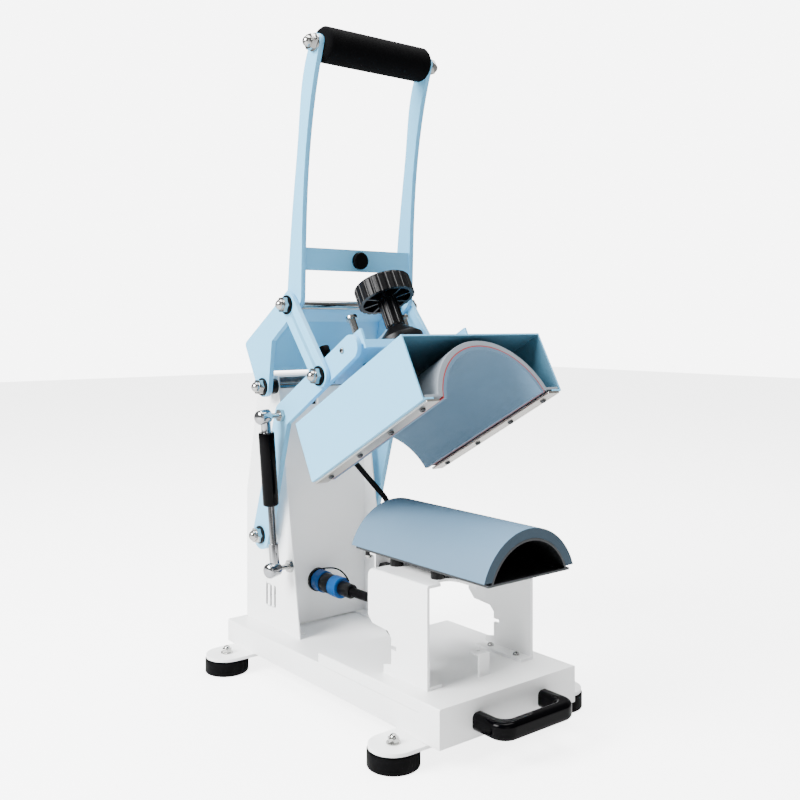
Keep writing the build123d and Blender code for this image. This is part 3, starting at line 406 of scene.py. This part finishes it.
# On the cradle's feet
for x in (-61.5, 61.5):
    for y in (-124, -86):
        screw(Vector((x, y, TRAY_TOP)) * MM, (0, 0, 1), 3.6, "tray")
# On the column cover, the inlet plate, under the platen and at the arm bridge
for x in (-54, 54):
    for z in (66, 130, 190):
        screw(Vector((x, COVER_REAR, z)) * MM, (0, 1, 0), 3, "root")
for x in (-44.5, -3.5):
    screw(Vector((x, INLET_REAR, 84)) * MM, (0, 1, 0), 2.4, "root")
for x in (-46, -34):
    screw(Vector((x, -12, PLATEN_UNDER - 6)) * MM, (0, 0, -1), 4.4, "tray")
for side in (-1, 1):
    screw(head_point(80 * side, 5.5, 106), (side, 0, 0), 3.2, "arm")
# Round the connector's flange
for k in range(4):
    angle = pi / 4 + k * pi / 2
    at = Vector((PLUG_X + FLANGE_RING * cos(angle), 137, PLUG_Z + FLANGE_RING * sin(angle))) * MM
    screw(at, (0, -1, 0), 1.1, "root", dark_metal)

# Black washers behind the nuts of the toggle
WASHERS = (("toggle", 86.49, 427.23, 86.1, "handle"), ("link", 23.5, 350.6, 85.95, "link"))
for side, hand in ((-1, "left"), (1, "right")):
    for name, y, z, start, body in WASHERS:
        rings = [(9.4, 0.15), (10.5, 0.15), (10.7, 0.5), (10.7, 1.9), (10.4, 2.3), (8.8, 2.3)]
        rings = [(r * MM, (start + h) * MM) for r, h in rings]
        vertices, faces = lathe(rings, Vector((0, y, z)) * MM, (side, 0, 0), steps=36)
        new_piece(f"{name}_washer_{hand}", vertices, faces, rubber, body)

# Strap that keeps the connector's cap
strap_path = route_line("strap_route", [
    (-9, 133, 111), (-7, 120, 115), (-4, 104, 116), (-2, 92, 111), (-2, 86, 105),
])
vertices, faces = tube(strap_path, 0.9 * MM, around=10)
new_piece("connector_strap", vertices, faces, rubber, "root")

# Round backs on the strut's two ball sockets, which face outwards and square to the strut
SOCKET_AXIS = Vector((-0.96608, -0.23523, -0.10658))
for name, ball, wide, out, body in (
    ("socket_back_top", STRUT_TOP, 8.0, 8.5, "strut_cylinder"),
    ("socket_back_foot", STRUT_FOOT, 8.5, 9.5, "strut_rod"),
):
    rings = [
        (wide, -0.2), (wide * 0.96, 1.1), (wide * 0.84, 2.3),
        (wide * 0.62, 3.3), (wide * 0.33, 3.9), (0.6, 4.1),
    ]
    rings = [(r * MM, h * MM) for r, h in rings]
    vertices, faces = lathe(rings, ball + out * MM * SOCKET_AXIS, SOCKET_AXIS, steps=36)
    new_piece(name, vertices, faces, chrome, body)

# Rubber caps on the stop studs
for x, hand in ((-56, "left"), (56, "right")):
    rings = [(6.15, 0), (6.3, 0.8), (6.3, 7), (5.6, 8.1), (2, 8.3)]
    rings = [(r * MM, h * MM) for r, h in rings]
    vertices, faces = lathe(rings, head_point(x, 66, 133), HEAD_UP, steps=28)
    new_piece(f"stud_cap_{hand}", vertices, faces, rubber, "arm")

# Controller face and rear switch marks
DIGITS_X = 71.14
BUTTON_X = 73.55


def text_piece(name, words, size, at, material, body, normal=(1, 0, 0)):
    curve = bpy.data.curves.new(name, "FONT")
    curve.body = words
    curve.size = size
    curve.extrude = 0.1 * MM
    curve.align_x = "CENTER"
    curve.align_y = "CENTER"
    holder = bpy.data.objects.new(name + "_text", curve)
    bpy.context.scene.collection.objects.link(holder)
    bpy.context.view_layer.update()
    mesh = bpy.data.meshes.new_from_object(holder)
    bpy.data.objects.remove(holder)
    normal = Vector(normal)
    up = Vector((0, 0, 1))
    across = up.cross(normal)
    turn = Matrix((across, up, normal)).transposed().to_4x4()
    mesh.transform(Matrix.Translation(Vector(at) * MM) @ turn)
    mesh.materials.clear()
    mesh.materials.append(material)
    piece = bpy.data.objects.new(name, mesh)
    bpy.context.scene.collection.objects.link(piece)
    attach(piece, body)


text_piece("display_heat", "180", 0.017, (DIGITS_X, 143, 101), digit_glow, "root")
text_piece("display_time", "060", 0.017, (DIGITS_X, 177, 101), digit_glow, "root")
BUTTONS = (("button_down", 138, "-"), ("button_set", 160, "o"), ("button_up", 182, "+"))
for name, y, words in BUTTONS:
    text_piece(name + "_mark", words, 0.008, (BUTTON_X, y, 76), plastic, name)
REAR = (0, 1, 0)
text_piece("switch_on", "I", 0.006, (24, 217.1, 97.4), mark_white, "root", normal=REAR)
text_piece("switch_off", "O", 0.005, (24, 217.1, 70.6), mark_white, "root", normal=REAR)

# Studio
FLOOR = 6.0
PAPER_GLOW, SKY_LIGHT, SKY_SEEN = 4.2, 0.34, 7
WHITE = (1, 1, 1, 1)
floor_mesh = bpy.data.meshes.new("floor")
floor_corners = [(-FLOOR, -FLOOR, 0), (FLOOR, -FLOOR, 0), (FLOOR, FLOOR, 0), (-FLOOR, FLOOR, 0)]
floor_mesh.from_pydata(floor_corners, [], [(0, 1, 2, 3)])
floor_paper = coated("floor_paper", linear(222, 222, 222), 0.7, shade=0.01, grain=60, bump=0.01, patch=1.2)
# The paper looks brighter to the camera than it is to the machine
tree = floor_paper.node_tree
seen = tree.nodes.new("ShaderNodeLightPath")
glow = tree.nodes.new("ShaderNodeMath")
glow.operation = "MULTIPLY"
glow.inputs[1].default_value = PAPER_GLOW
tree.links.new(seen.outputs["Is Camera Ray"], glow.inputs[0])
tree.links.new(glow.outputs["Value"], tree.nodes["Principled BSDF"].inputs["Emission Strength"])
tree.nodes["Principled BSDF"].inputs["Emission Color"].default_value = WHITE
floor_mesh.materials.append(floor_paper)
floor = bpy.data.objects.new("floor", floor_mesh)
bpy.context.scene.collection.objects.link(floor)

world = bpy.data.worlds.new("studio")
bpy.context.scene.world = world
world.use_nodes = True
sky = world.node_tree
backdrop = sky.nodes["Background"]
backdrop.inputs["Color"].default_value = WHITE
backdrop.inputs["Strength"].default_value = SKY_LIGHT
# The paper behind is brighter to the camera than to the machine
bright = sky.nodes.new("ShaderNodeBackground")
bright.inputs["Color"].default_value = WHITE
bright.inputs["Strength"].default_value = SKY_SEEN
ray = sky.nodes.new("ShaderNodeLightPath")
choose = sky.nodes.new("ShaderNodeMixShader")
sky.links.new(ray.outputs["Is Camera Ray"], choose.inputs["Fac"])
sky.links.new(backdrop.outputs["Background"], choose.inputs[1])
sky.links.new(bright.outputs["Background"], choose.inputs[2])
sky.links.new(choose.outputs["Shader"], sky.nodes["World Output"].inputs["Surface"])


def lamp(name, at, target, size, power):
    light = bpy.data.lights.new(name, "AREA")
    light.shape = "RECTANGLE"
    light.size, light.size_y = size
    light.energy = power
    holder = bpy.data.objects.new(name, light)
    holder.location = at
    holder.rotation_euler = (Vector(target) - Vector(at)).to_track_quat("-Z", "Y").to_euler()
    bpy.context.scene.collection.objects.link(holder)


lamp("key", (-2.0, 0.25, 1.5), (0, 0, 0.3), (1.2, 1.2), 205)
lamp("top", (0.3, 0.1, 2.4), (0, 0, 0.2), (1.8, 1.8), 130)
lamp("front", (-0.9, -2.3, 0.8), (0, 0, 0.3), (1.0, 1.0), 6)
